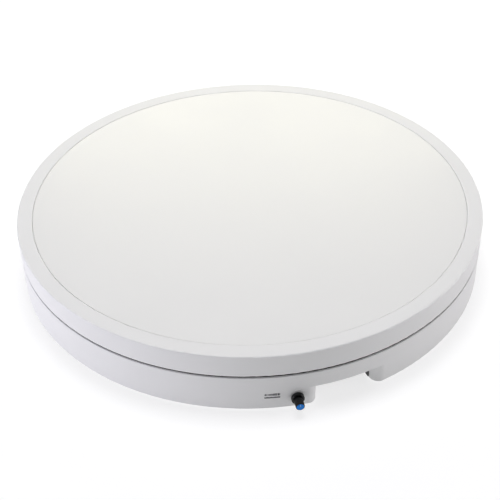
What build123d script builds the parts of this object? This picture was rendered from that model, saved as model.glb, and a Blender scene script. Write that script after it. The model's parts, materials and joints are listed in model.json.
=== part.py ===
"""Motorised, illuminated turntable display stand, 600 mm across.

Frame: millimetres, +Z up, origin on the rotation axis at the surface that the
stand rests on. The front, with the brightness knob and the cable bay, faces -Y.
Azimuths are in degrees from the front, positive towards +X.
"""
from build123d import *
import math
import os

os.makedirs("parts", exist_ok=True)

# ------------------------------------------------------------ driving sizes
table_r = 300.0            # outside radius of base and platter
casing_height = 80.0       # lower edge of the base wall to the top of the rim
casing_lift = 2.0          # lower edge of the base wall above the standing surface
split_height = 49.2        # middle of the gap between base and platter, above the wall's lower edge
split_gap = 2.6
wall = 3.0                 # casing wall thickness
lip_width = 1.8            # thin edge of the base wall outside the gap shield

rim_width = 19.5
panel_thickness = 4.0
panel_recess = 0.5         # top of the light panel below the top of the rim
panel_ledge = 10.0         # width of the step that the panel rests on
panel_fit = 0.25           # between the panel's edge and the rim

bay_azimuth = 20.95        # cable bay in the base's lower edge
bay_width = 69.5
bay_height = 25.8
bay_depth = 60.0
bay_mouth_r = 11.5

knob_azimuth = 9.36
knob_height = 13.9         # knob axis above the wall's lower edge
knob_reach = 16.8          # how far the knob stands out of the wall

ball_circle_r = 188.0
ball_r = 2.5
ball_count = 40

gear_module = 1.5
gear_teeth = 120
pinion_teeth = 18
pressure_angle = math.radians(20)
gear_backlash = 0.3        # taken off each tooth's thickness
gear_bore_r = 68.0
motor_azimuth = 225.0      # direction of the motor from the axis

slack = 0.05               # radial play of a screw or shaft in its hole
running_gap = 0.4          # gap beside a part that turns

# ------------------------------------------------------------ levels above the standing surface
wall_bottom = casing_lift
rim_top = wall_bottom + casing_height
base_top = wall_bottom + split_height - split_gap / 2
platter_bottom = base_top + split_gap
deck_top = base_top - 2.6
deck_bottom = deck_top - wall
cover_bottom = wall_bottom + 1.0
cover_top = cover_bottom + 2.5
panel_top = rim_top - panel_recess
panel_bottom = panel_top - panel_thickness
plate_bottom = deck_top + 10.5
plate_top = plate_bottom + 3.0
rib_bottom = deck_bottom - 10.0
board_top = deck_bottom - 15.0
board_bottom = board_top - 1.6
bay_ceiling = wall_bottom + bay_height

wall_inner_r = table_r - wall
panel_r = table_r - rim_width - panel_fit
lip_r = table_r - lip_width
bay_end = table_r - bay_depth
gear_pitch_r = gear_module * gear_teeth / 2
pinion_pitch_r = gear_module * pinion_teeth / 2
motor_distance = gear_pitch_r + pinion_pitch_r

centred_down = (Align.CENTER, Align.CENTER, Align.MAX)
centred_up = (Align.CENTER, Align.CENTER, Align.MIN)


# ------------------------------------------------------------ helpers
def at_azimuth(azimuth, radius):
    """Plan position at an azimuth from the front."""
    angle = math.radians(azimuth)
    return (radius * math.sin(angle), -radius * math.cos(angle))


def ring_places(radius, azimuths):
    """Plan positions on a circle about the rotation axis."""
    return [at_azimuth(azimuth, radius) for azimuth in azimuths]


def azimuth_plane(azimuth, height):
    """Level plane on the rotation axis with its X axis pointing outwards at an azimuth."""
    x, y = at_azimuth(azimuth, 1.0)
    return Plane(origin=(0, 0, height), x_dir=(x, y, 0), z_dir=(0, 0, 1))


def outward_plane(azimuth, radius, height):
    """Upright plane facing outwards, its X axis to the right as seen from outside and its Y axis up."""
    x, y = at_azimuth(azimuth, 1.0)
    return Plane(origin=(radius * x, radius * y, height), x_dir=(-y, x, 0), z_dir=(x, y, 0))


def keep(piece, label):
    """Name a finished piece and write it."""
    piece.part.label = label
    export_step(piece.part, f"parts/{label}.step")


def pan_screws(label, places, seat, length, shank_r, heads_down=True):
    """Group of pan-head cross-recess screws; seat is the height of the face under the heads."""
    head_r = shank_r * 1.9
    head_h = shank_r * 1.15
    side = -1 if heads_down else 1
    with BuildPart() as group:
        with BuildSketch(Plane.XY.offset(seat)):
            with Locations(*places):
                Circle(head_r)
        extrude(amount=side * head_h)
        chamfer(group.edges().group_by(Axis.Z)[0 if heads_down else -1], length=head_h * 0.3)
        with BuildSketch(Plane.XY.offset(seat)):
            with Locations(*places):
                Circle(shank_r)
        extrude(amount=-side * length)
        with BuildSketch(Plane.XY.offset(seat + side * head_h)):
            with Locations(*places):
                Rectangle(head_r * 1.1, shank_r * 0.35)
                Rectangle(shank_r * 0.35, head_r * 1.1)
        extrude(amount=-side * head_h * 0.5, mode=Mode.SUBTRACT)
    keep(group, label)


def countersunk_screws(label, places, face, length, shank_r, heads_down=False):
    """Group of countersunk hex-socket screws with their heads flush with the face height given."""
    head_r = shank_r * 1.85
    head_h = head_r - shank_r
    side = -1 if heads_down else 1
    with BuildPart() as group:
        with Locations(*[(x, y, face) for x, y in places]):
            if heads_down:
                Cone(head_r, shank_r, head_h, align=centred_up)
                Cylinder(shank_r, length, align=centred_up)
            else:
                Cone(shank_r, head_r, head_h, align=centred_down)
                Cylinder(shank_r, length, align=centred_down)
        with BuildSketch(Plane.XY.offset(face)):
            with Locations(*places):
                RegularPolygon(shank_r * 0.6, 6)
        extrude(amount=-side * head_h * 0.8, mode=Mode.SUBTRACT)
    keep(group, label)


def lead(label, wire_r, bend_r, *route):
    """Round wire along straight runs with tangent bends."""
    with BuildPart() as piece:
        with BuildLine() as path:
            FilletPolyline(*route, radius=bend_r)
        with BuildSketch(Plane(origin=path.line @ 0, z_dir=path.line % 0)):
            Circle(wire_r)
        sweep()
    keep(piece, label)


def gear_outline(teeth, first_tooth):
    """Involute spur gear outline; first_tooth is the angle of a tooth's middle."""
    pitch_r = gear_module * teeth / 2
    base_r = pitch_r * math.cos(pressure_angle)
    root_r = pitch_r - 1.25 * gear_module
    tip_r = pitch_r + gear_module
    involute_start = max(base_r, root_r)
    half_tooth = (math.pi * gear_module / 2 - gear_backlash) / 2 / pitch_r
    pitch_roll = math.tan(pressure_angle) - pressure_angle

    def flank_angle(radius):
        press = math.acos(min(1.0, base_r / radius))
        return half_tooth + pitch_roll - (math.tan(press) - press)

    def at(radius, angle):
        return (radius * math.cos(angle), radius * math.sin(angle))

    flank_radii = [involute_start, (involute_start + 2 * pitch_r) / 3, (pitch_r + tip_r) / 2, tip_r]
    step = 2 * math.pi / teeth
    with BuildSketch() as gear:
        with BuildLine():
            for tooth in range(teeth):
                middle = math.radians(first_tooth) + tooth * step
                rising = [at(r, middle - flank_angle(r)) for r in flank_radii]
                falling = [at(r, middle + flank_angle(r)) for r in reversed(flank_radii)]
                root_start = at(root_r, middle + flank_angle(involute_start))
                root_end = at(root_r, middle + step - flank_angle(involute_start))
                Spline(*rising)
                ThreePointArc(rising[-1], at(tip_r, middle), falling[0])
                Spline(*falling)
                if base_r > root_r:
                    Line(falling[-1], root_start)
                    Line(root_end, at(base_r, middle + step - flank_angle(involute_start)))
                ThreePointArc(root_start, at(root_r, middle + step / 2), root_end)
        make_face()
    return gear.sketch


def bay_outline(grow):
    """Plan of the cable bay with its flared mouth, in a level plane whose X axis points outwards."""
    half_width = bay_width / 2 + grow
    mouth_r = bay_mouth_r - grow
    mouth_y = bay_width / 2 + bay_mouth_r
    mouth_x = math.sqrt((table_r - bay_mouth_r) ** 2 - mouth_y ** 2)
    flare = math.degrees(math.atan2(mouth_y, mouth_x))
    reach = table_r + 15.0
    end = bay_end - grow
    outer_y = reach * math.sin(math.radians(flare))
    outer_x = reach * math.cos(math.radians(flare))
    with BuildSketch() as bay:
        with BuildLine():
            right = CenterArc((mouth_x, mouth_y), mouth_r, -90, 90 + flare)
            left = CenterArc((mouth_x, -mouth_y), mouth_r, 90, -(90 + flare))
            Polyline(right @ 1, (outer_x, outer_y), (outer_x, -outer_y), left @ 1)
            Polyline(right @ 0, (end, half_width), (end, -half_width), left @ 0)
        make_face()
    return bay.sketch


# ------------------------------------------------------------ places shared by several pieces
cover_screw_places = ring_places(285.0, range(40, 360, 30))
pillar_places = ring_places(215.0, range(50, 360, 60))
foot_places = ring_places(262.0, range(50, 360, 60))
bearing_base_places = ring_places(195.0, range(0, 360, 30))
bearing_plate_places = ring_places(181.0, range(15, 360, 30))
gear_screw_places = ring_places(80.0, range(0, 360, 60))
rim_screw_places = ring_places(290.0, range(0, 360, 30))
rotor_screw_places = ring_places(8.0, range(30, 360, 120))
slip_ring_screw_places = ring_places(17.5, range(0, 360, 120))
motor_x, motor_y = at_azimuth(motor_azimuth, motor_distance)
motor_hole_pitch = 31.0
motor_screw_places = [(motor_x + sx * motor_hole_pitch / 2, motor_y + sy * motor_hole_pitch / 2)
                      for sx in (-1, 1) for sy in (-1, 1)]

control_x, control_y = -66.0, -162.0
control_length, control_width = 120.0, 75.0
dimmer_x, dimmer_y = 78.0, -148.0
dimmer_length, dimmer_width = 70.0, 50.0
post_inset = 5.0


def board_corners(x, y, length, width):
    """Post positions at a board's corners."""
    return [(x + sx * (length / 2 - post_inset), y + sy * (width / 2 - post_inset))
            for sx in (-1, 1) for sy in (-1, 1)]


board_post_places = (board_corners(control_x, control_y, control_length, control_width)
                     + board_corners(dimmer_x, dimmer_y, dimmer_length, dimmer_width))

knob_axis = Axis(origin=(0, 0, 0), direction=(*at_azimuth(knob_azimuth, 1.0), 0))
bay_axis = Axis(origin=(0, 0, 0), direction=(*at_azimuth(bay_azimuth, 1.0), 0))
jack_height = wall_bottom + 13.0
dc_jack_offset = -14.0
sync_jack_offset = 14.0
dc_jack_thread_r = 5.5
sync_jack_thread_r = 3.0

# ------------------------------------------------------------ base shell
screw_r = 2.0              # M4 screws hold the casing and the bearing
small_screw_r = 1.5        # M3 screws hold the motor, the slip ring and the boards
slip_ring_body_r = 11.0
motor_boss_r = 11.0
control_bush_r = 3.5
inner_rib_r = 136.5
outer_rib_r = 239.5
rib_width = 2.5
cover_boss_r = 4.5
pillar_r = 6.0
post_r = 3.5

with BuildPart() as base_shell:
    with BuildSketch(Plane.XZ):
        with BuildLine():
            Polyline(
                (wall_inner_r, wall_bottom), (table_r, wall_bottom), (table_r, base_top),
                (lip_r, base_top), (lip_r, deck_top),
                (slip_ring_body_r, deck_top), (slip_ring_body_r, deck_bottom),
                (wall_inner_r, deck_bottom), close=True)
        make_face()
    revolve(axis=Axis.Z)
    circles = base_shell.edges().filter_by(GeomType.CIRCLE)
    fillet(circles.filter_by(lambda e: e.radius > lip_r + 1).sort_by(Axis.Z)[-1], radius=1.2)
    circles = base_shell.edges().filter_by(GeomType.CIRCLE)
    fillet(circles.filter_by(lambda e: e.radius > lip_r + 1).sort_by(Axis.Z)[0], radius=0.5)
    # stiffening ribs under the deck
    with BuildSketch(Plane.XY.offset(rib_bottom)):
        for ring_r in (inner_rib_r, outer_rib_r):
            Circle(ring_r + rib_width)
            Circle(ring_r, mode=Mode.SUBTRACT)
        with PolarLocations((inner_rib_r + wall_inner_r) / 2, 12, start_angle=-75):
            Rectangle(wall_inner_r - inner_rib_r, rib_width)
    extrude(amount=deck_bottom - rib_bottom)
    # screw bosses, pillars and board posts
    with BuildSketch(Plane.XY.offset(cover_top)):
        with Locations(*cover_screw_places):
            Circle(cover_boss_r)
        with Locations(*pillar_places):
            Circle(pillar_r)
    extrude(amount=deck_bottom - cover_top)
    with BuildSketch(Plane.XY.offset(board_top)):
        with Locations(*board_post_places):
            Circle(post_r)
    extrude(amount=deck_bottom - board_top)
    # cable bay: pocket walls first, then the space inside them
    with BuildSketch(azimuth_plane(bay_azimuth, wall_bottom)):
        add(bay_outline(wall))
        Circle(table_r - wall / 2, mode=Mode.INTERSECT)
    extrude(amount=bay_height + wall)
    with BuildSketch(azimuth_plane(bay_azimuth, wall_bottom - 1)):
        add(bay_outline(0.0))
    extrude(amount=bay_height + 1, mode=Mode.SUBTRACT)
    # holes
    with Locations(*[(x, y, cover_top) for x, y in cover_screw_places + pillar_places]):
        Cylinder(screw_r + slack, 20.0, align=centred_up, mode=Mode.SUBTRACT)
    with Locations(*[(x, y, board_top) for x, y in board_post_places]):
        Cylinder(small_screw_r + slack, 10.0, align=centred_up, mode=Mode.SUBTRACT)
    with Locations(*[(x, y, deck_top) for x, y in bearing_base_places]):
        Cylinder(screw_r + slack, wall, align=centred_down, mode=Mode.SUBTRACT)
    with Locations(*[(x, y, deck_top) for x, y in motor_screw_places + slip_ring_screw_places]):
        Cylinder(small_screw_r + slack, wall, align=centred_down, mode=Mode.SUBTRACT)
    with Locations((motor_x, motor_y, deck_top)):
        Cylinder(motor_boss_r + 0.2, wall, align=centred_down, mode=Mode.SUBTRACT)
    with BuildSketch(outward_plane(knob_azimuth, table_r - 10, wall_bottom + knob_height)):
        Circle(control_bush_r + slack)
    extrude(amount=20.0, mode=Mode.SUBTRACT)
    with BuildSketch(outward_plane(bay_azimuth, bay_end - 10, jack_height)):
        with Locations((dc_jack_offset, 0)):
            Circle(dc_jack_thread_r + slack)
        with Locations((sync_jack_offset, 0)):
            Circle(sync_jack_thread_r + slack)
    extrude(amount=20.0, mode=Mode.SUBTRACT)
keep(base_shell, "base_shell")

# ------------------------------------------------------------ gap shield
# black ring inside the lip of the base wall; its upstand laps behind the platter's skirt
shield_r = wall_inner_r - 0.5
shield_thickness = 2.0
shield_top = plate_bottom - 1.5
with BuildPart() as gap_shield:
    with BuildSketch(Plane.XZ):
        with BuildLine():
            Polyline(
                (shield_r - shield_thickness, deck_top), (lip_r - slack, deck_top),
                (lip_r - slack, base_top - 0.3), (shield_r, base_top - 0.3),
                (shield_r, shield_top), (shield_r - shield_thickness, shield_top), close=True)
        make_face()
    revolve(axis=Axis.Z)
keep(gap_shield, "gap_shield")

# ------------------------------------------------------------ base cover and feet
foot_r = 12.0
centre_foot_r = 15.0
foot_edge_r = 0.6
with BuildPart() as base_cover:
    with BuildSketch(Plane.XY.offset(cover_bottom)):
        Circle(wall_inner_r - running_gap)
    extrude(amount=cover_top - cover_bottom)
    with BuildSketch(azimuth_plane(bay_azimuth, cover_bottom)):
        add(bay_outline(wall + running_gap))
    extrude(amount=cover_top - cover_bottom, mode=Mode.SUBTRACT)
    with Locations(*[(x, y, cover_bottom) for x, y in cover_screw_places + pillar_places]):
        Cylinder(screw_r + slack, cover_top - cover_bottom, align=centred_up, mode=Mode.SUBTRACT)
        Cone(screw_r * 1.85 + slack, screw_r + slack, screw_r * 0.85, align=centred_up, mode=Mode.SUBTRACT)
keep(base_cover, "base_cover")

with BuildPart() as centre_foot:
    with BuildSketch(Plane.XY):
        Circle(centre_foot_r)
    extrude(amount=cover_bottom)
    fillet(centre_foot.edges().sort_by(Axis.Z)[0], radius=foot_edge_r)
keep(centre_foot, "centre_foot")

with BuildPart() as foot_pads:
    with BuildSketch(Plane.XY):
        with Locations(*foot_places):
            Circle(foot_r)
    extrude(amount=cover_bottom)
    fillet(foot_pads.edges().group_by(Axis.Z)[0], radius=foot_edge_r)
keep(foot_pads, "foot_pads")

countersunk_screws("cover_screws", cover_screw_places + pillar_places, cover_bottom, 16.0, screw_r,
                   heads_down=True)

# ------------------------------------------------------------ ring bearing
outer_ring_r = 200.0
inner_ring_r = 176.0
ring_play = 0.8            # ring face to ball circle
groove_r = ball_r + 0.15
outer_ring_top = plate_bottom - 1.0
inner_ring_bottom = deck_top + 1.0
ball_height = (outer_ring_top + inner_ring_bottom) / 2

with BuildPart() as bearing_outer_ring:
    with BuildSketch(Plane.XZ):
        with BuildLine():
            Polyline((ball_circle_r + ring_play, deck_top), (outer_ring_r, deck_top),
                     (outer_ring_r, outer_ring_top), (ball_circle_r + ring_play, outer_ring_top), close=True)
        make_face()
        with Locations((ball_circle_r, ball_height)):
            Circle(groove_r, mode=Mode.SUBTRACT)
    revolve(axis=Axis.Z)
    with Locations(*[(x, y, deck_top) for x, y in bearing_base_places]):
        Cylinder(screw_r + slack, 7.0, align=centred_up, mode=Mode.SUBTRACT)
keep(bearing_outer_ring, "bearing_outer_ring")

with BuildPart() as bearing_inner_ring:
    with BuildSketch(Plane.XZ):
        with BuildLine():
            Polyline((inner_ring_r, inner_ring_bottom), (ball_circle_r - ring_play, inner_ring_bottom),
                     (ball_circle_r - ring_play, plate_bottom), (inner_ring_r, plate_bottom), close=True)
        make_face()
        with Locations((ball_circle_r, ball_height)):
            Circle(groove_r, mode=Mode.SUBTRACT)
    revolve(axis=Axis.Z)
    with Locations(*[(x, y, plate_bottom) for x, y in bearing_plate_places]):
        Cylinder(screw_r + slack, 7.0, align=centred_down, mode=Mode.SUBTRACT)
keep(bearing_inner_ring, "bearing_inner_ring")

with BuildPart() as bearing_balls:
    with BuildSketch(Plane.XZ):
        with Locations((ball_circle_r, ball_height)):
            Circle(ball_r)
            Rectangle(2 * ball_r, 2 * ball_r, align=(Align.MAX, Align.CENTER), mode=Mode.SUBTRACT)
    revolve(axis=Axis((ball_circle_r, 0, 0), (0, 0, 1)))
    one_ball = bearing_balls.part
    with PolarLocations(0, ball_count - 1, start_angle=360 / ball_count,
                        angular_range=360 - 360 / ball_count, rotate=True):
        add(one_ball)
keep(bearing_balls, "bearing_balls")

cage_thickness = 0.8
cage_height = 6.0
with BuildPart() as ball_cage:
    with BuildSketch(Plane.XY.offset(ball_height - cage_height / 2)):
        Circle(ball_circle_r + cage_thickness / 2)
        Circle(ball_circle_r - cage_thickness / 2, mode=Mode.SUBTRACT)
    extrude(amount=cage_height)
    with Locations((0, 0, ball_height)):
        with PolarLocations(ball_circle_r, ball_count):
            Cylinder(ball_r + 0.1, 4.0, rotation=(0, 90, 0), mode=Mode.SUBTRACT)
keep(ball_cage, "ball_cage")

pan_screws("bearing_base_screws", bearing_base_places, deck_bottom, 9.0, screw_r)

# ------------------------------------------------------------ stepper motor
motor_square = 42.3
motor_cap_height = 8.0
motor_height = 34.0
motor_shaft_r = 2.5
motor_bottom = deck_bottom - motor_height
stator_bore_r = 13.5
motor_bearing_r = 8.0
motor_bearing_height = 5.0

with BuildPart() as motor_caps:
    for cap_bottom in (motor_bottom, deck_bottom - motor_cap_height):
        with BuildSketch(Plane.XY.offset(cap_bottom)) as cap_plan:
            with Locations((motor_x, motor_y)):
                Rectangle(motor_square, motor_square)
            chamfer(cap_plan.vertices(), length=4.0)
        extrude(amount=motor_cap_height)
    with Locations((motor_x, motor_y, deck_bottom)):
        Cylinder(motor_boss_r, 2.0, align=centred_up)
    with Locations((motor_x, motor_y, motor_bottom - 1)):
        Cylinder(motor_shaft_r + 0.5, motor_height + 5, align=centred_up, mode=Mode.SUBTRACT)
    with Locations((motor_x, motor_y, motor_bottom + 1.5)):
        Cylinder(motor_bearing_r, motor_cap_height, align=centred_up, mode=Mode.SUBTRACT)
    with Locations((motor_x, motor_y, deck_bottom - 1.5)):
        Cylinder(motor_bearing_r, motor_cap_height, align=centred_down, mode=Mode.SUBTRACT)
    with Locations(*[(x, y, deck_bottom) for x, y in motor_screw_places]):
        Cylinder(small_screw_r + slack, 5.0, align=centred_down, mode=Mode.SUBTRACT)
keep(motor_caps, "motor_caps")

stator_bottom = motor_bottom + motor_cap_height
stator_top = deck_bottom - motor_cap_height
with BuildPart() as motor_stator:
    with BuildSketch(Plane.XY.offset(stator_bottom)) as stator_plan:
        with Locations((motor_x, motor_y)):
            Rectangle(motor_square, motor_square)
        chamfer(stator_plan.vertices(), length=5.5)
        with Locations((motor_x, motor_y)):
            Circle(stator_bore_r, mode=Mode.SUBTRACT)
    extrude(amount=stator_top - stator_bottom)
keep(motor_stator, "motor_stator")

front_bearing_top = deck_bottom - 1.5
rear_bearing_bottom = motor_bottom + 1.5
with BuildPart() as motor_bearings:
    for bottom in (rear_bearing_bottom, front_bearing_top - motor_bearing_height):
        with BuildSketch(Plane.XY.offset(bottom)):
            with Locations((motor_x, motor_y)):
                Circle(motor_bearing_r - slack)
                Circle(motor_shaft_r + slack, mode=Mode.SUBTRACT)
        extrude(amount=motor_bearing_height)
keep(motor_bearings, "motor_bearings")

pinion_bottom = deck_top + 3.0
pinion_top = plate_bottom - 1.0
with BuildPart() as motor_shaft:
    with Locations((motor_x, motor_y, rear_bearing_bottom)):
        Cylinder(motor_shaft_r, pinion_top + 0.5 - rear_bearing_bottom, align=centred_up)
    with Locations((motor_x + motor_shaft_r - 0.5, motor_y, pinion_bottom - 1.5)):
        Box(2.0, 6.0, 20.0, align=(Align.MIN, Align.CENTER, Align.MIN), mode=Mode.SUBTRACT)
    chamfer(motor_shaft.edges().sort_by(Axis.Z)[-1], length=0.3)
keep(motor_shaft, "motor_shaft")

rotor_bottom = stator_bottom + 0.5
with BuildPart() as motor_rotor:
    with BuildSketch(Plane.XY.offset(rotor_bottom)):
        with Locations((motor_x, motor_y)):
            Circle(stator_bore_r - 0.5)
            Circle(motor_shaft_r, mode=Mode.SUBTRACT)
    extrude(amount=stator_top - stator_bottom - 1.0)
keep(motor_rotor, "motor_rotor")

with BuildPart() as pinion:
    with BuildSketch(Plane.XY.offset(pinion_bottom)):
        with Locations((motor_x, motor_y)):
            add(gear_outline(pinion_teeth, motor_azimuth - 90 + 180 + 180 / pinion_teeth))
            Circle(motor_shaft_r, mode=Mode.SUBTRACT)
    extrude(amount=pinion_top - pinion_bottom)
    with BuildSketch(Plane.XY.offset(pinion_bottom)):
        with Locations((motor_x + motor_shaft_r - 0.5, motor_y)):
            Rectangle(0.5, 3.0, align=(Align.MIN, Align.CENTER))
        with Locations((motor_x, motor_y)):
            Circle(motor_shaft_r, mode=Mode.INTERSECT)
    extrude(amount=pinion_top - pinion_bottom)
keep(pinion, "pinion")

pan_screws("motor_screws", motor_screw_places, deck_top, 7.0, small_screw_r, heads_down=False)

# ------------------------------------------------------------ drive gear on the platter
gear_bottom = deck_top + 4.5
with BuildPart() as drive_gear:
    with BuildSketch(Plane.XY.offset(gear_bottom)):
        add(gear_outline(gear_teeth, 0.0))
        Circle(gear_bore_r, mode=Mode.SUBTRACT)
        with Locations(*gear_screw_places):
            Circle(screw_r + slack, mode=Mode.SUBTRACT)
    extrude(amount=plate_bottom - gear_bottom)
keep(drive_gear, "drive_gear")

# ------------------------------------------------------------ slip ring
rotor_shaft_r = 4.0
slip_ring_bottom = deck_bottom - 22.0
with BuildPart() as slip_ring_stator:
    with BuildSketch(Plane.XY.offset(deck_bottom)):
        Circle(22.0)
    extrude(amount=-2.5)
    with BuildSketch(Plane.XY.offset(deck_top)):
        Circle(slip_ring_body_r - slack)
    extrude(amount=slip_ring_bottom - deck_top)
    chamfer(slip_ring_stator.edges().sort_by(Axis.Z)[0], length=1.0)
    with BuildSketch(Plane.XY.offset(slip_ring_bottom)):
        Circle(rotor_shaft_r + slack)
    extrude(amount=deck_top - slip_ring_bottom, mode=Mode.SUBTRACT)
    with Locations(*[(x, y, deck_bottom) for x, y in slip_ring_screw_places]):
        Cylinder(small_screw_r + slack, 2.5, align=centred_down, mode=Mode.SUBTRACT)
keep(slip_ring_stator, "slip_ring_stator")

pan_screws("slip_ring_screws", slip_ring_screw_places, deck_bottom - 2.5, 5.0, small_screw_r)

strip_height = 1.2
rotor_collar_height = 4.0
with BuildPart() as slip_ring_rotor:
    with BuildSketch(Plane.XY.offset(slip_ring_bottom - 2.0)):
        Circle(rotor_shaft_r)
    extrude(amount=plate_top + 3.0 - slip_ring_bottom)
    with BuildSketch(Plane.XY.offset(plate_bottom)):
        Circle(11.5)
    extrude(amount=-rotor_collar_height)
    with Locations(*[(x, y, plate_bottom) for x, y in rotor_screw_places]):
        Cylinder(1.0 + slack, 3.0, align=centred_down, mode=Mode.SUBTRACT)
keep(slip_ring_rotor, "slip_ring_rotor")

# ------------------------------------------------------------ platter
rim_inner_r = table_r - rim_width
ledge_inner_r = rim_inner_r - panel_ledge
web_r = rim_inner_r + wall
with BuildPart() as platter_rim:
    with BuildSketch(Plane.XZ):
        with BuildLine():
            Polyline(
                (table_r, platter_bottom), (table_r, rim_top), (rim_inner_r, rim_top),
                (rim_inner_r, panel_bottom), (ledge_inner_r, panel_bottom),
                (ledge_inner_r, panel_bottom - wall), (web_r, panel_bottom - wall),
                (web_r, rim_top - wall), (wall_inner_r, rim_top - wall),
                (wall_inner_r, platter_bottom), close=True)
        make_face()
    revolve(axis=Axis.Z)
    rim_edges = platter_rim.edges().filter_by(GeomType.CIRCLE)
    fillet(rim_edges.filter_by(lambda e: e.radius > table_r - 0.1).sort_by(Axis.Z)[-1], radius=1.2)
    rim_edges = platter_rim.edges().filter_by(GeomType.CIRCLE)
    fillet(rim_edges.filter_by(lambda e: e.radius > table_r - 0.1).sort_by(Axis.Z)[0], radius=0.8)
    rim_edges = platter_rim.edges().filter_by(GeomType.CIRCLE).group_by(Axis.Z)[-1]
    fillet(rim_edges.sort_by(lambda e: e.radius)[0], radius=1.0)
    with BuildSketch(Plane.XY.offset(plate_top)):
        with Locations(*rim_screw_places):
            Circle(cover_boss_r)
    extrude(amount=rim_top - wall - plate_top)
    with Locations(*[(x, y, plate_top) for x, y in rim_screw_places]):
        Cylinder(screw_r + slack, 12.0, align=centred_up, mode=Mode.SUBTRACT)
keep(platter_rim, "platter_rim")

with BuildPart() as light_panel:
    with BuildSketch(Plane.XY.offset(panel_bottom)):
        Circle(panel_r)
    extrude(amount=panel_thickness)
    chamfer(light_panel.edges().sort_by(Axis.Z)[-1], length=0.3)
keep(light_panel, "light_panel")

with BuildPart() as platter_plate:
    with BuildSketch(Plane.XY.offset(plate_bottom)):
        Circle(wall_inner_r - running_gap)
        Circle(rotor_shaft_r + slack, mode=Mode.SUBTRACT)
        with Locations(*rim_screw_places, *bearing_plate_places, *gear_screw_places):
            Circle(screw_r + slack, mode=Mode.SUBTRACT)
        with Locations(*rotor_screw_places):
            Circle(1.0 + slack, mode=Mode.SUBTRACT)
    extrude(amount=plate_top - plate_bottom)
    with Locations(*[(x, y, plate_top) for x, y in bearing_plate_places + gear_screw_places]):
        Cone(screw_r + slack, screw_r * 1.85 + slack, screw_r * 0.85, align=centred_down, mode=Mode.SUBTRACT)
keep(platter_plate, "platter_plate")

countersunk_screws("platter_screws", bearing_plate_places + gear_screw_places, plate_top, 7.5, screw_r)
pan_screws("rim_screws", rim_screw_places, plate_bottom, 12.0, screw_r)
pan_screws("rotor_screws", rotor_screw_places, plate_top, 5.5, 1.0, heads_down=False)

with BuildPart() as panel_supports:
    with BuildSketch(Plane.XY.offset(plate_top)):
        with Locations(*[(x, y) for x in (-190, -65, 65, 190) for y in (-175, -75, 75, 175)]):
            Circle(4.0)
    extrude(amount=panel_bottom - plate_top)
keep(panel_supports, "panel_supports")

# ------------------------------------------------------------ light source
lit_r = 262.0
row_pitch = 50.0
bus_width = 20.0
strip_width = 10.0
strip_gap = 3.0            # bus board's edge to a strip's end
chip_pitch = 33.0
chip_size = 5.0
chip_height = 1.5


def row_reach(y):
    """Distance from the middle to the end of the strip row at y."""
    return math.sqrt(lit_r ** 2 - y ** 2)


row_places = [row * row_pitch for row in range(-5, 6)]
strip_start = bus_width / 2 + strip_gap
strips = [(side, y, row_reach(y) - strip_start) for y in row_places for side in (-1, 1)]

with BuildPart() as led_strips:
    with BuildSketch(Plane.XY.offset(plate_top)):
        for side, y, length in strips:
            with Locations((side * (strip_start + length / 2), y)):
                Rectangle(length, strip_width)
    extrude(amount=strip_height)
keep(led_strips, "led_strips")

with BuildPart() as led_chips:
    with BuildSketch(Plane.XY.offset(plate_top + strip_height)):
        for side, y, length in strips:
            count = int(length // chip_pitch)
            margin = (length - (count - 1) * chip_pitch) / 2
            with Locations(*[(side * (strip_start + margin + n * chip_pitch), y) for n in range(count)]):
                Rectangle(chip_size, chip_size)
    extrude(amount=chip_height)
keep(led_chips, "led_chips")

with BuildPart() as led_bus_board:
    with BuildSketch(Plane.XY.offset(plate_top)):
        Rectangle(bus_width, 2 * lit_r)
        Rectangle(bus_width, 20.0, mode=Mode.SUBTRACT)
    extrude(amount=1.6)
keep(led_bus_board, "led_bus_board")

with BuildPart() as rotor_leads:
    for side in (-1, 1):
        with BuildLine() as path:
            FilletPolyline(
                (side * 1.6, 0, plate_top + 1.0), (side * 1.6, 0, plate_top + 7.0),
                (side * 1.6, side * 16.0, plate_top + 7.0), (side * 1.6, side * 16.0, plate_top + 1.6),
                radius=2.5)
        with BuildSketch(Plane(origin=path.line @ 0, z_dir=path.line % 0)):
            Circle(0.8)
        sweep(path=path.line)
keep(rotor_leads, "rotor_leads")

# ------------------------------------------------------------ electronics under the deck
with BuildPart() as control_board:
    with BuildSketch(Plane.XY.offset(board_bottom)):
        with Locations((control_x, control_y)):
            RectangleRounded(control_length, control_width, 2.0)
        with Locations(*board_corners(control_x, control_y, control_length, control_width)):
            Circle(small_screw_r + slack, mode=Mode.SUBTRACT)
    extrude(amount=board_top - board_bottom)
keep(control_board, "control_board")

with BuildPart() as dimmer_board:
    with BuildSketch(Plane.XY.offset(board_bottom)):
        with Locations((dimmer_x, dimmer_y)):
            RectangleRounded(dimmer_length, dimmer_width, 2.0)
        with Locations(*board_corners(dimmer_x, dimmer_y, dimmer_length, dimmer_width)):
            Circle(small_screw_r + slack, mode=Mode.SUBTRACT)
    extrude(amount=board_top - board_bottom)
keep(dimmer_board, "dimmer_board")

pan_screws("board_screws", board_post_places, board_bottom, 9.0, small_screw_r)

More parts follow.
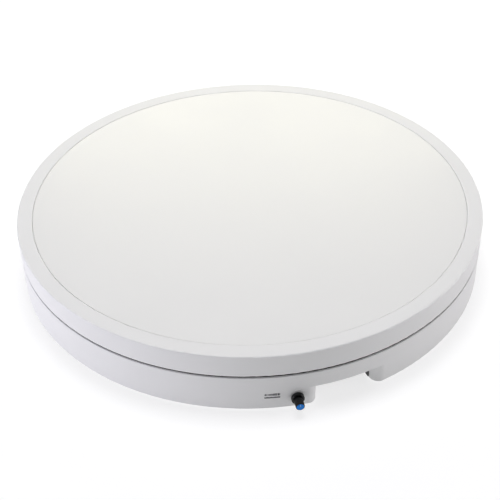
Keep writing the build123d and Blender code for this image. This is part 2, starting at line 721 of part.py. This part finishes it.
# chips, coils and connectors hang below the boards: (x, y) on the board, then length, width, height
motor_socket = (-30, 31, 20, 8, 8)
dimmer_feed_socket = (45, 20, 8, 10, 8)
power_socket = (36, -31, 13, 8, 8)
sync_socket = (52, -8, 8, 10, 8)
control_blocks = [(-4, 6, 12, 12, 1.6), (24, 12, 14, 9, 1.8), (-38, -22, 12, 12, 6),
                  motor_socket, dimmer_feed_socket, power_socket, sync_socket]
feed_socket = (-30, 8, 8, 10, 8)
brightness_socket = (-8, -19, 13, 8, 8)
light_socket = (14, 19, 13, 8, 8)
dimmer_blocks = [(-16, -2, 12, 12, 7), feed_socket, brightness_socket, light_socket]
control_cans = [(-20, -22), (-6, -22), (8, -22)]
dimmer_cans = [(8, -6)]
can_r = 5.0
can_height = 12.0


def placed(board_x, board_y, items):
    """Component positions on a board, in plan."""
    return [(board_x + item[0], board_y + item[1]) for item in items]


with BuildPart() as control_components:
    for board_x, board_y, blocks, cans in ((control_x, control_y, control_blocks, control_cans),
                                           (dimmer_x, dimmer_y, dimmer_blocks, dimmer_cans)):
        for (x, y), block in zip(placed(board_x, board_y, blocks), blocks):
            with Locations((x, y, board_bottom)):
                Box(block[2], block[3], block[4], align=centred_down)
        with Locations(*[(x, y, board_bottom) for x, y in placed(board_x, board_y, cans)]):
            Cylinder(can_r, can_height, align=centred_down)
keep(control_components, "control_components")

heatsink_x = dimmer_x + 20.0
heatsink_y = dimmer_y - 8.0
with BuildPart() as dimmer_heatsink:
    with BuildSketch(Plane.XY.offset(board_bottom)):
        with Locations((heatsink_x, heatsink_y)):
            Rectangle(12.0, 24.0)
    extrude(amount=-3.0)
    with BuildSketch(Plane.XY.offset(board_bottom - 3.0)):
        with Locations((heatsink_x, heatsink_y)):
            with GridLocations(0, 4.4, 1, 6):
                Rectangle(12.0, 1.4)
    extrude(amount=-9.0)
keep(dimmer_heatsink, "dimmer_heatsink")

# ------------------------------------------------------------ liner of the cable bay
liner_wall = 1.2
liner_length = 44.0        # from the bay's end wall to where its mouth starts to flare
liner_bottom = wall_bottom + 0.5
with BuildPart() as bay_liner:
    with BuildSketch(azimuth_plane(bay_azimuth, liner_bottom)):
        with Locations((bay_end + liner_length / 2, 0)):
            Rectangle(liner_length, bay_width - 2 * slack)
    extrude(amount=bay_ceiling - liner_bottom)
    with BuildSketch(azimuth_plane(bay_azimuth, liner_bottom)):
        with Locations((bay_end + liner_wall + liner_length / 2, 0)):
            RectangleRounded(liner_length, bay_width - 2 * liner_wall, 3.0)
        with Locations((bay_end + liner_length, 0)):
            Rectangle(liner_length, bay_width - 2 * liner_wall)
    extrude(amount=bay_ceiling - liner_wall - liner_bottom, mode=Mode.SUBTRACT)
    with BuildSketch(outward_plane(bay_azimuth, bay_end, jack_height)):
        with Locations((dc_jack_offset, 0)):
            Circle(dc_jack_thread_r + slack)
        with Locations((sync_jack_offset, 0)):
            Circle(sync_jack_thread_r + slack)
    extrude(amount=liner_wall, mode=Mode.SUBTRACT)
keep(bay_liner, "bay_liner")

# ------------------------------------------------------------ sockets in the end wall of the cable bay
# in these planes Z points outwards, from inside the base into the bay
with BuildPart() as dc_jack:
    with BuildSketch(outward_plane(bay_azimuth, bay_end - wall, jack_height)):
        with Locations((dc_jack_offset, 0)):
            Rectangle(14.0, 12.0)
    extrude(amount=-12.0)
    with BuildSketch(outward_plane(bay_azimuth, bay_end - wall, jack_height)):
        with Locations((dc_jack_offset, 0)):
            Circle(dc_jack_thread_r)
    extrude(amount=wall + 5.0)
    with BuildSketch(outward_plane(bay_azimuth, bay_end + 5.0, jack_height)):
        with Locations((dc_jack_offset, 0)):
            Circle(2.9)
    extrude(amount=-10.0, mode=Mode.SUBTRACT)
keep(dc_jack, "dc_jack")

with BuildPart() as dc_jack_pin:
    with BuildSketch(outward_plane(bay_azimuth, bay_end - 5.0, jack_height)):
        with Locations((dc_jack_offset, 0)):
            Circle(1.05)
    extrude(amount=9.0)
    fillet(dc_jack_pin.faces().sort_by(bay_axis)[-1].edges(), radius=0.5)
keep(dc_jack_pin, "dc_jack_pin")

with BuildPart() as dc_jack_nut:
    with BuildSketch(outward_plane(bay_azimuth, bay_end + liner_wall, jack_height)):
        with Locations((dc_jack_offset, 0)):
            RegularPolygon(8.0, 6)
            Circle(dc_jack_thread_r + slack, mode=Mode.SUBTRACT)
    extrude(amount=2.0)
keep(dc_jack_nut, "dc_jack_nut")

sync_bore_r = 1.8
with BuildPart() as sync_jack:
    with BuildSketch(outward_plane(bay_azimuth, bay_end - wall, jack_height)):
        with Locations((sync_jack_offset, 0)):
            Rectangle(10.0, 9.0)
    extrude(amount=-14.0)
    with BuildSketch(outward_plane(bay_azimuth, bay_end - wall, jack_height)):
        with Locations((sync_jack_offset, 0)):
            Circle(sync_jack_thread_r)
    extrude(amount=wall + 3.0)
    with BuildSketch(outward_plane(bay_azimuth, bay_end + 3.0, jack_height)):
        with Locations((sync_jack_offset, 0)):
            Circle(sync_bore_r)
    extrude(amount=-15.0, mode=Mode.SUBTRACT)
keep(sync_jack, "sync_jack")

with BuildPart() as sync_jack_nut:
    with BuildSketch(outward_plane(bay_azimuth, bay_end + liner_wall, jack_height)):
        with Locations((sync_jack_offset, 0)):
            Circle(4.2)
            Circle(sync_jack_thread_r + slack, mode=Mode.SUBTRACT)
    extrude(amount=1.6)
keep(sync_jack_nut, "sync_jack_nut")

# ------------------------------------------------------------ brightness control
knob_axis_height = wall_bottom + knob_height
control_front = wall_inner_r - 0.2     # front of the control's body, just inside the curved wall
control_depth = 9.0
nut_seat = table_r + 0.5
shaft_end = table_r + knob_reach - 4.0
control_shaft_r = 3.0
flat_depth = 1.2


def knob_plane(radius):
    """Plane across the knob's axis at a distance from the rotation axis."""
    return outward_plane(knob_azimuth, radius, knob_axis_height)


with BuildPart() as potentiometer:
    with BuildSketch(knob_plane(control_front)):
        Circle(8.2)
    extrude(amount=-control_depth)
    with BuildSketch(knob_plane(control_front - control_depth)):
        with Locations((0, 8.5)):
            Rectangle(14.0, 4.0)
    extrude(amount=2.0)
    with BuildSketch(knob_plane(control_front)):
        Circle(control_bush_r)
    extrude(amount=table_r + 5.0 - control_front)
    with BuildSketch(knob_plane(control_front - control_depth + 2.0)):
        Circle(control_shaft_r + slack)
    extrude(amount=20.0, mode=Mode.SUBTRACT)
keep(potentiometer, "potentiometer")

with BuildPart() as potentiometer_washer:
    with BuildSketch(knob_plane(table_r)):
        Circle(5.6)
        Circle(control_bush_r + slack, mode=Mode.SUBTRACT)
    extrude(amount=nut_seat - table_r)
keep(potentiometer_washer, "potentiometer_washer")

with BuildPart() as potentiometer_nut:
    with BuildSketch(knob_plane(nut_seat)):
        RegularPolygon(5.5, 6)
        Circle(control_bush_r + slack, mode=Mode.SUBTRACT)
    extrude(amount=2.0)
keep(potentiometer_nut, "potentiometer_nut")

with BuildPart() as potentiometer_shaft:
    with BuildSketch(knob_plane(control_front - control_depth + 2.5)):
        Circle(control_shaft_r)
    extrude(amount=shaft_end - (control_front - control_depth + 2.5))
    with BuildSketch(knob_plane(shaft_end)):
        with Locations((0, control_shaft_r)):
            Rectangle(8.0, 2 * flat_depth)
    extrude(amount=-11.0, mode=Mode.SUBTRACT)
keep(potentiometer_shaft, "potentiometer_shaft")

knob_face = table_r + 1.2
knob_skirt_r = 7.7
skirt_height = 4.0
cap_rise = 0.4             # cap's face above the end of the grip
cap_depth = 1.5
knob_top = table_r + knob_reach - cap_rise
knob_neck_r = 5.6
knob_tip_r = 5.1
cap_r = 4.3
flute_count = 18
flute_r = 0.8


def grip_section(radius):
    """Fluted round section of the knob's grip."""
    with BuildSketch() as section:
        Circle(radius)
        with PolarLocations(radius + flute_r * 0.6, flute_count):
            Circle(flute_r, mode=Mode.SUBTRACT)
    return section.sketch


with BuildPart() as knob:
    with BuildSketch(knob_plane(knob_face)):
        Circle(knob_skirt_r)
    extrude(amount=skirt_height)
    fillet(knob.edges().filter_by(GeomType.CIRCLE).sort_by(knob_axis)[-1], radius=1.0)
    with BuildSketch(knob_plane(knob_face + skirt_height / 2)):
        add(grip_section(knob_neck_r))
    with BuildSketch(knob_plane(knob_top)):
        add(grip_section(knob_tip_r))
    loft()
    # recess over the nut, socket for the cap and bore for the shaft
    with BuildSketch(knob_plane(knob_face)):
        Circle(6.3)
    extrude(amount=2.3, mode=Mode.SUBTRACT)
    with BuildSketch(knob_plane(knob_face)):
        Circle(control_bush_r + 0.5)
    extrude(amount=5.0, mode=Mode.SUBTRACT)
    with BuildSketch(knob_plane(knob_face)):
        Circle(control_shaft_r)
    extrude(amount=shaft_end - knob_face, mode=Mode.SUBTRACT)
    with BuildSketch(knob_plane(knob_top)):
        Circle(cap_r)
    extrude(amount=-cap_depth, mode=Mode.SUBTRACT)
keep(knob, "knob")

pointer_width = 1.1
pointer_length = 3.2
pointer_depth = 0.8
pointer_middle = cap_r - 0.6 - pointer_length / 2
with BuildPart() as knob_cap:
    with BuildSketch(knob_plane(knob_top - cap_depth)):
        Circle(cap_r)
    extrude(amount=cap_depth + cap_rise)
    fillet(knob_cap.faces().sort_by(knob_axis)[-1].edges(), radius=0.35)
    with BuildSketch(knob_plane(table_r + knob_reach)):
        with Locations((0, pointer_middle)):
            Rectangle(pointer_width, pointer_length)
    extrude(amount=-pointer_depth, mode=Mode.SUBTRACT)
keep(knob_cap, "knob_cap")

with BuildPart() as knob_pointer:
    with BuildSketch(knob_plane(table_r + knob_reach - pointer_depth)):
        with Locations((0, pointer_middle)):
            Rectangle(pointer_width, pointer_length)
    extrude(amount=pointer_depth - 0.1)
keep(knob_pointer, "knob_pointer")

# ------------------------------------------------------------ printed mark
# upper row: bars that grow from a small sun to a large one; lower row: a toothed scale;
# the mark is printed a little askew
mark_azimuth = 4.05
mark_height = wall_bottom + 19.4
mark_tilt = -7.5
ink_thickness = 0.15
upper_row = 1.8            # middle of the upper row above the mark's middle
bar_count = 7
bar_pitch = 1.5
bar_width = 1.15
shortest_bar = 1.6
longest_bar = 3.5
scale_bottom = -3.5
scale_length = 17.6
tick_count = 12
tick_pitch = 1.5
with BuildPart() as brightness_mark:
    with BuildSketch(outward_plane(mark_azimuth, table_r - 5, mark_height).rotated((0, 0, mark_tilt))):
        for sun_x, sun_r, ray in ((-7.3, 0.8, 0.5), (7.1, 1.1, 0.6)):
            with Locations((sun_x, upper_row)):
                Circle(sun_r)
                with PolarLocations(sun_r + 0.2 + ray / 2, 8):
                    Rectangle(ray, 0.55)
        for bar in range(bar_count):
            bar_height = shortest_bar + (longest_bar - shortest_bar) * bar / (bar_count - 1)
            with Locations(((bar - (bar_count - 1) / 2) * bar_pitch - 0.2, upper_row)):
                Rectangle(bar_width, bar_height)
        with Locations((0, scale_bottom)):
            Rectangle(scale_length, 1.1, align=(Align.CENTER, Align.MIN))
            with GridLocations(tick_pitch, 0, tick_count, 1):
                Rectangle(0.8, 2.2, align=(Align.CENTER, Align.MIN))
    extrude(amount=10.0)
    with BuildSketch(Plane.XY.offset(wall_bottom)):
        Circle(table_r + ink_thickness)
        Circle(table_r, mode=Mode.SUBTRACT)
    extrude(amount=base_top - wall_bottom, mode=Mode.INTERSECT)
keep(brightness_mark, "brightness_mark")

# ------------------------------------------------------------ internal wiring
wire_level = board_bottom - 4.0


def bay_side(outward, sideways, height):
    """Point given by its distance out along the bay's azimuth and its distance to the right of it."""
    x, y = at_azimuth(bay_azimuth, 1.0)
    return (outward * x - sideways * y, outward * y + sideways * x, height)


def socket_side(board_x, board_y, socket, side_x, side_y):
    """Middle of a board socket's side, where its wires go in."""
    x, y, length, width, _ = socket
    return (board_x + x + side_x * length / 2, board_y + y + side_y * width / 2, wire_level)


jack_rear = bay_end - wall - 12.0
sync_rear = bay_end - wall - 14.0
motor_wire_level = motor_bottom + 12.0
slip_ring_wire_level = slip_ring_bottom + 6.0
power_end = socket_side(control_x, control_y, power_socket, 1, 0)
sync_end = socket_side(control_x, control_y, sync_socket, 1, 0)
motor_end = socket_side(control_x, control_y, motor_socket, 0, 1)
light_end = socket_side(dimmer_x, dimmer_y, light_socket, 0, 1)
feed_start = socket_side(control_x, control_y, dimmer_feed_socket, 1, 0)
feed_end = socket_side(dimmer_x, dimmer_y, feed_socket, -1, 0)
brightness_end = socket_side(dimmer_x, dimmer_y, brightness_socket, 0, -1)
control_rear = control_front - control_depth
lead("power_lead", 1.8, 6.0,
     bay_side(jack_rear, dc_jack_offset, jack_height),
     bay_side(jack_rear - 14, dc_jack_offset, jack_height),
     (24.0, -190.0, wire_level), (power_end[0] + 16, power_end[1], wire_level), power_end)
lead("sync_lead", 1.2, 5.0,
     bay_side(sync_rear, sync_jack_offset, jack_height),
     bay_side(sync_rear - 14, sync_jack_offset, jack_height),
     (60.0, -180.0, jack_height - 1), (25.0, -172.0, wire_level - 4),
     (sync_end[0] + 14, sync_end[1], wire_level), sync_end)
lead("motor_lead", 2.2, 8.0,
     (motor_x, motor_y - motor_square / 2, motor_wire_level), (motor_x, 28.0, motor_wire_level),
     (-120.0, -40.0, wire_level), (motor_end[0], -98.0, wire_level), motor_end)
lead("slip_ring_lead", 1.6, 5.0,
     (0.0, slack - slip_ring_body_r, slip_ring_wire_level), (0.0, -32.0, slip_ring_wire_level),
     (60.0, -90.0, wire_level), (light_end[0], -104.0, wire_level), light_end)
lead("dimmer_lead", 1.6, 8.0,
     feed_start, (feed_start[0] + 15, feed_start[1], wire_level),
     (feed_end[0] - 15, feed_end[1], wire_level), feed_end)
lead("brightness_lead", 1.2, 5.0,
     (*at_azimuth(knob_azimuth, control_rear), knob_axis_height),
     (*at_azimuth(knob_azimuth, control_rear - 34), knob_axis_height),
     (45.0, -222.0, wire_level), (brightness_end[0], -190.0, wire_level), brightness_end)
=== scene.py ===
"""Looks for the turntable display stand: materials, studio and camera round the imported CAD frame.

Lengths are in metres. The front of the stand, with its knob and cable bay, faces -Y.
"""
import json
import math

import bpy
from mathutils import Matrix, Vector


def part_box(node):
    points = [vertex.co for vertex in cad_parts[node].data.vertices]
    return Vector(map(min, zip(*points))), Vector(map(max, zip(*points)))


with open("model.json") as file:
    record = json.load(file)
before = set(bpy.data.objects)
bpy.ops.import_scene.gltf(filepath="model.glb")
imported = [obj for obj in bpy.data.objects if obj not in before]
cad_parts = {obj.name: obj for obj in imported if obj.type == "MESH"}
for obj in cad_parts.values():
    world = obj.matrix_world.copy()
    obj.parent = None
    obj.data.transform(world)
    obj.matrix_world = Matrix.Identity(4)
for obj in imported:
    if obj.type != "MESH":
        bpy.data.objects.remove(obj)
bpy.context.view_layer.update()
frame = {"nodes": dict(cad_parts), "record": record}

MM = 0.001
RIM_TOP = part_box("platter_rim")[1][2]


# ------------------------------------------------------------ node helpers
class Recipe:
    """A material under construction: its node tree, its shader and its object coordinates."""

    def __init__(self, name, colour, roughness, metallic=0.0, **sockets):
        self.material = bpy.data.materials.new(name)
        self.material.use_nodes = True
        self.tree = self.material.node_tree
        self.shader = self.tree.nodes["Principled BSDF"]
        self.colour = (*colour, 1.0)
        self.roughness = roughness
        self.shader.inputs["Base Color"].default_value = self.colour
        self.shader.inputs["Roughness"].default_value = roughness
        self.shader.inputs["Metallic"].default_value = metallic
        for socket, value in sockets.items():
            self.shader.inputs[socket.replace("_", " ")].default_value = value
        self.coords = self.tree.nodes.new("ShaderNodeTexCoord").outputs["Object"]
        self.height = None

    def node(self, kind, **settings):
        made = self.tree.nodes.new(kind)
        for key, value in settings.items():
            setattr(made, key, value)
        return made

    def link(self, source, target):
        self.tree.links.new(source, target)

    def math(self, operation, first, second=0.0):
        made = self.node("ShaderNodeMath", operation=operation)
        for socket, value in zip(made.inputs, (first, second)):
            if isinstance(value, (int, float)):
                socket.default_value = value
            else:
                self.link(value, socket)
        return made.outputs[0]

    def noise(self, cell, detail=2.0):
        """Noise whose features are about one cell wide, in metres."""
        made = self.node("ShaderNodeTexNoise")
        made.inputs["Scale"].default_value = 1.0 / cell
        made.inputs["Detail"].default_value = detail
        self.link(self.coords, made.inputs["Vector"])
        return made.outputs["Fac"]

    def cells(self, cell, metric="EUCLIDEAN"):
        """Distance to the middle of the nearest cell, cells being about one cell wide, in metres."""
        made = self.node("ShaderNodeTexVoronoi", distance=metric)
        made.inputs["Scale"].default_value = 1.0 / cell
        self.link(self.coords, made.inputs["Vector"])
        return made.outputs["Distance"]

    def axis(self, name):
        made = self.node("ShaderNodeSeparateXYZ")
        self.link(self.coords, made.inputs[0])
        return made.outputs[name]

    def ramp(self, value, low, high, to_low=0.0, to_high=1.0):
        """Maps low..high of a value onto to_low..to_high, clamped."""
        made = self.node("ShaderNodeMapRange")
        made.clamp = True
        ends = {"From Min": low, "From Max": high, "To Min": to_low, "To Max": to_high}
        for socket, number in ends.items():
            made.inputs[socket].default_value = number
        self.link(value, made.inputs["Value"])
        return made.outputs["Result"]

    def tint(self, mask, colour):
        """Blends another colour over the present one where the mask is 1."""
        mix = self.node("ShaderNodeMix", data_type="RGBA")
        source = self.shader.inputs["Base Color"]
        if source.is_linked:
            self.link(source.links[0].from_socket, mix.inputs["A"])
        else:
            mix.inputs["A"].default_value = self.colour
        mix.inputs["B"].default_value = (*colour, 1.0)
        self.link(mask, mix.inputs["Factor"])
        self.link(mix.outputs["Result"], source)

    def mottle(self, cell, share, dark=0.85):
        """Slight large-scale colour variation."""
        shade = tuple(channel * dark for channel in self.colour[:3])
        self.tint(self.ramp(self.noise(cell, 3.0), 0.35, 0.75, 0.0, share), shade)

    def uneven_gloss(self, cell, spread):
        """Roughness that wanders by the spread on either side of its mean."""
        value = self.ramp(self.noise(cell, 4.0), 0.3, 0.7, self.roughness - spread, self.roughness + spread)
        self.link(value, self.shader.inputs["Roughness"])

    def relief(self, height, depth):
        """Adds a height pattern, depth metres from its 0 to its 1."""
        bump = self.node("ShaderNodeBump")
        bump.inputs["Strength"].default_value = 1.0
        bump.inputs["Distance"].default_value = depth
        self.link(height, bump.inputs["Height"])
        if self.height is not None:
            self.link(self.height, bump.inputs["Normal"])
        self.height = bump.outputs["Normal"]
        self.link(self.height, self.shader.inputs["Normal"])


# ------------------------------------------------------------ materials
def moulded(name, colour, roughness, grain, depth, **sockets):
    """Injection-moulded plastic: fine spark-eroded grain, uneven gloss, faint mottling."""
    recipe = Recipe(name, colour, roughness, **sockets)
    recipe.mottle(90 * MM, 0.25, 0.93)
    recipe.uneven_gloss(30 * MM, 0.05)
    recipe.relief(recipe.noise(grain, 2.0), depth)
    return recipe


def white_casing():
    """Satin white casing plastic with a fine grain and the faintest flow marks."""
    recipe = moulded("white_casing", (0.77, 0.77, 0.775), 0.50, 0.45 * MM, 0.010 * MM,
                     Specular_IOR_Level=0.32)
    recipe.relief(recipe.noise(45 * MM, 1.0), 0.05 * MM)
    return recipe


def opal_acrylic():
    """Opal acrylic sheet: soft sheen, barely visible rub marks."""
    recipe = Recipe("opal_acrylic", (0.78, 0.78, 0.78), 0.36, IOR=1.49)
    recipe.mottle(160 * MM, 0.25, 0.97)
    recipe.uneven_gloss(60 * MM, 0.04)
    recipe.relief(recipe.noise(0.9 * MM, 2.0), 0.004 * MM)
    return recipe


def clear_acrylic():
    recipe = Recipe("clear_acrylic", (0.93, 0.94, 0.94), 0.12, IOR=1.49, Transmission_Weight=0.7)
    recipe.uneven_gloss(3 * MM, 0.04)
    recipe.relief(recipe.noise(1.5 * MM), 0.01 * MM)
    return recipe


def rubber():
    recipe = Recipe("foot_rubber", (0.028, 0.028, 0.03), 0.78)
    recipe.mottle(6 * MM, 0.5, 1.8)
    recipe.relief(recipe.noise(0.4 * MM), 0.03 * MM)
    return recipe


def turned_metal(name, colour, roughness):
    """Lathe-turned metal: rings of fine tool marks round the part's upright axis."""
    recipe = Recipe(name, colour, roughness, 1.0)
    x, y = recipe.axis("X"), recipe.axis("Y")
    squares = recipe.math("ADD", recipe.math("MULTIPLY", x, x), recipe.math("MULTIPLY", y, y))
    tool_pitch = 0.35 * MM
    turns = recipe.math("MULTIPLY", recipe.math("SQRT", squares), 2 * math.pi / tool_pitch)
    recipe.relief(recipe.ramp(recipe.math("SINE", turns), -1.0, 1.0), 0.006 * MM)
    recipe.uneven_gloss(12 * MM, 0.07)
    recipe.mottle(20 * MM, 0.4, 0.85)
    return recipe


def plated(name, colour, roughness):
    """Zinc or nickel plate: bright metal with a crystalline, uneven sheen."""
    recipe = Recipe(name, colour, roughness, 1.0)
    recipe.uneven_gloss(1.5 * MM, 0.08)
    recipe.mottle(4 * MM, 0.5, 0.8)
    recipe.relief(recipe.noise(0.3 * MM), 0.008 * MM)
    return recipe


def laminations():
    """Dark lacquered lamination stack with half-millimetre sheets."""
    recipe = Recipe("lamination_steel", (0.035, 0.036, 0.04), 0.42, 0.6)
    sheet_pitch = 0.5 * MM
    sheets = recipe.math("SINE", recipe.math("MULTIPLY", recipe.axis("Z"), 2 * math.pi / sheet_pitch))
    recipe.relief(recipe.ramp(sheets, -1.0, 1.0), 0.06 * MM)
    recipe.tint(recipe.ramp(sheets, 0.2, 1.0, 0.0, 0.6), (0.12, 0.12, 0.125))
    return recipe


def circuit_board(name, mask_colour, trace_colour):
    """Solder mask over straight copper traces, with the odd bare pad."""
    recipe = Recipe(name, mask_colour, 0.32)
    traces = recipe.cells(2.6 * MM, "CHEBYCHEV")
    recipe.tint(recipe.ramp(traces, 0.40, 0.42), trace_colour)
    recipe.relief(recipe.ramp(traces, 0.38, 0.44), 0.035 * MM)
    pads = recipe.cells(5.5 * MM)
    recipe.tint(recipe.math("LESS_THAN", pads, 0.09), (0.72, 0.60, 0.34))
    return recipe


def phosphor():
    recipe = Recipe("led_phosphor", (0.90, 0.78, 0.22), 0.22, Coat_Weight=0.6)
    recipe.mottle(1.2 * MM, 0.5, 0.8)
    recipe.relief(recipe.noise(0.3 * MM), 0.02 * MM)
    return recipe


def ink():
    """Pad-printed ink with the slight dropout of a screened edge."""
    recipe = Recipe("mark_ink", (0.045, 0.045, 0.055), 0.55)
    recipe.tint(recipe.ramp(recipe.noise(0.25 * MM), 0.60, 0.75, 0.0, 0.5), (0.4, 0.4, 0.42))
    recipe.relief(recipe.noise(0.12 * MM), 0.01 * MM)
    return recipe


def wire_jacket(name, colour):
    recipe = Recipe(name, colour, 0.45)
    recipe.mottle(5 * MM, 0.6, 1.5)
    recipe.relief(recipe.noise(0.5 * MM), 0.02 * MM)
    return recipe


def brass():
    recipe = Recipe("brass", (0.75, 0.56, 0.27), 0.28, 1.0)
    recipe.uneven_gloss(2 * MM, 0.08)
    recipe.mottle(5 * MM, 0.6, 0.75)
    recipe.relief(recipe.noise(0.2 * MM), 0.006 * MM)
    return recipe


def knob_black():
    """Moulded black knob plastic, a little polished by fingers."""
    recipe = Recipe("knob_black", (0.004, 0.004, 0.0045), 0.19, Specular_IOR_Level=0.3)
    recipe.mottle(3 * MM, 0.5, 2.2)
    recipe.uneven_gloss(4 * MM, 0.05)
    recipe.relief(recipe.noise(0.35 * MM), 0.008 * MM)
    return recipe


def knob_blue():
    recipe = Recipe("knob_blue", (0.0, 0.21, 0.74), 0.24, Specular_IOR_Level=0.2)
    recipe.mottle(2.5 * MM, 0.6, 0.75)
    recipe.uneven_gloss(3 * MM, 0.06)
    recipe.relief(recipe.noise(0.4 * MM), 0.008 * MM)
    return recipe


SLOTS = {
    "white_casing": white_casing(),
    "cover_plastic": moulded("cover_plastic", (0.66, 0.66, 0.665), 0.55, 0.8 * MM, 0.03 * MM),
    "opal_acrylic": opal_acrylic(),
    "clear_acrylic": clear_acrylic(),
    "foot_rubber": rubber(),
    "aluminium": turned_metal("turned_aluminium", (0.72, 0.72, 0.73), 0.34),
    "lamination_steel": laminations(),
    "bearing_steel": plated("bearing_steel", (0.78, 0.78, 0.79), 0.12),
    "magnet_steel": turned_metal("magnet_steel", (0.30, 0.30, 0.31), 0.38),
    "shaft_steel": plated("shaft_steel", (0.62, 0.62, 0.63), 0.26),
    "zinc_screws": plated("zinc_plate", (0.66, 0.67, 0.69), 0.30),
    "nylon": moulded("natural_nylon", (0.74, 0.71, 0.62), 0.5, 0.6 * MM, 0.02 * MM),
    "acetal": moulded("natural_acetal", (0.78, 0.78, 0.75), 0.38, 0.6 * MM, 0.012 * MM),
    "brass": brass(),
    "black_plastic": moulded("black_plastic", (0.018, 0.018, 0.019), 0.45, 0.4 * MM, 0.015 * MM),
    "plated_nut": plated("nickel_plate", (0.70, 0.69, 0.66), 0.22),
    "blue_plastic": knob_blue(),
    "pointer_white": moulded("pointer_white", (0.22, 0.42, 0.72), 0.35, 0.3 * MM, 0.006 * MM),
    "mark_ink": ink(),
    "green_board": circuit_board("green_board", (0.012, 0.13, 0.05), (0.02, 0.20, 0.08)),
    "white_board": circuit_board("white_board", (0.80, 0.80, 0.78), (0.74, 0.74, 0.71)),
    "led_phosphor": phosphor(),
    "wire_jacket": wire_jacket("black_wire", (0.02, 0.02, 0.02)),
    "red_wire": wire_jacket("red_wire", (0.45, 0.015, 0.012)),
}
OWN_MATERIAL = {
    "knob": knob_black(),
    # The gap shield's near-black brown is painted shade: a dark ring standing in for the shadow inside the
    # split gap between base and platter.
    "gap_shield": moulded("painted_shade_gap_plastic", (0.045, 0.038, 0.030), 0.7, 0.5 * MM, 0.02 * MM,
                          Specular_IOR_Level=0.2),
    # The bay liner's near-black grey is painted shade: a dark sheet standing in for the shadow deep inside
    # the cable bay.
    "bay_liner": moulded("painted_shade_bay_liner_plastic", (0.055, 0.055, 0.058), 0.6, 0.5 * MM, 0.02 * MM,
                         Specular_IOR_Level=0.3),
}


def dress_nodes():
    """Gives every CAD node the procedural material of its slot."""
    for part in frame["record"]["subparts"]:
        node = frame["nodes"][part["node"]]
        recipe = OWN_MATERIAL.get(part["node"], SLOTS[part["material_slot"]])
        node.data.materials.clear()
        node.data.materials.append(recipe.material)


dress_nodes()


# ------------------------------------------------------------ studio
# name: place, size, watts, colour; every softbox faces the stand
SOFTBOXES = {
    "back": ((0.0, 1.35, 0.75), (1.2, 0.35), 6.0, (1.0, 0.975, 0.72)),
    "overhead": ((0.0, 0.3, 2.5), (1.0, 1.0), 47.0, (0.982, 0.984, 1.0)),
    "left": ((-2.4, -0.7, 0.6), (0.9, 0.8), 32.0, (0.915, 0.895, 1.0)),
    "right": ((2.6, 0.2, 0.8), (1.8, 1.2), 25.0, (1.0, 0.96, 0.985)),
}
FLOOR_HALF = 40.0
FLOOR_PAPER = (0.30, 0.30, 0.30)
FLOOR_GLOW = 0.74
HORIZON_GLOW = FLOOR_GLOW
HORIZON_TOP = 0.22          # sine of the elevation at which the horizon's glow has faded out
FLOOR_TINT = (0.995, 0.995, 1.0, 1.0)


def floor():
    """White paper floor, lit a little from within so that it stays paler than the stand."""
    mesh = bpy.data.meshes.new("floor")
    corners = [(x * FLOOR_HALF, y * FLOOR_HALF, 0) for x, y in ((-1, -1), (1, -1), (1, 1), (-1, 1))]
    mesh.from_pydata(corners, [], [(0, 1, 2, 3)])
    plane = bpy.data.objects.new("floor", mesh)
    bpy.context.collection.objects.link(plane)
    recipe = Recipe("floor_paper", FLOOR_PAPER, 0.9, Specular_IOR_Level=0.1,
                    Emission_Color=FLOOR_TINT, Emission_Strength=FLOOR_GLOW)
    recipe.mottle(0.5, 0.2, 0.99)
    recipe.relief(recipe.noise(2 * MM), 0.02 * MM)
    mesh.materials.append(recipe.material)


def softbox(name, place, size, power, colour):
    light = bpy.data.lights.new(name, "AREA")
    light.shape = "RECTANGLE"
    light.size, light.size_y = size
    light.energy = power
    light.color = colour
    lamp = bpy.data.objects.new(name, light)
    lamp.visible_camera = False
    lamp.location = place
    lamp.rotation_euler = (Vector((0, 0, RIM_TOP)) - Vector(place)).to_track_quat("-Z", "Y").to_euler()
    bpy.context.collection.objects.link(lamp)


def backdrop():
    """A pale band along the horizon that fades to nothing overhead."""
    world = bpy.data.worlds.new("studio")
    world.use_nodes = True
    tree = world.node_tree
    direction = tree.nodes.new("ShaderNodeTexCoord").outputs["Generated"]
    split = tree.nodes.new("ShaderNodeSeparateXYZ")
    tree.links.new(direction, split.inputs[0])
    fade = tree.nodes.new("ShaderNodeMapRange")
    fade.clamp = True
    fade.inputs["From Max"].default_value = HORIZON_TOP
    fade.inputs["To Min"].default_value = HORIZON_GLOW
    fade.inputs["To Max"].default_value = 0.0
    tree.links.new(split.outputs["Z"], fade.inputs["Value"])
    sky = tree.nodes["Background"]
    sky.inputs["Color"].default_value = (1.0, 1.0, 1.0, 1.0)
    tree.links.new(fade.outputs["Result"], sky.inputs["Strength"])
    return world


def studio():
    floor()
    for name, settings in SOFTBOXES.items():
        softbox(name, *settings)
    bpy.context.scene.world = backdrop()
    bpy.context.scene.view_settings.view_transform = "Standard"


def camera():
    """View from the front, 38 degrees above the horizon, through a long lens."""
    distance = 1.4443
    elevation = math.radians(37.756)
    pitch = math.radians(-0.199)
    roll = math.radians(1.362)
    yaw = math.radians(0.036)
    foot_height = 2 * MM
    data = bpy.data.cameras.new("camera")
    data.lens = 76.978
    data.sensor_width = 36.0
    eye = bpy.data.objects.new("camera", data)
    bpy.context.collection.objects.link(eye)
    place = Vector((0, -distance * math.cos(elevation), distance * math.sin(elevation) + foot_height))
    tilt = Matrix.Rotation(yaw, 4, "Z") @ Matrix.Rotation(math.pi / 2 - elevation + pitch, 4, "X")
    eye.matrix_world = Matrix.Translation(place) @ tilt @ Matrix.Rotation(-roll, 4, "Z")
    bpy.context.scene.camera = eye


studio()
camera()
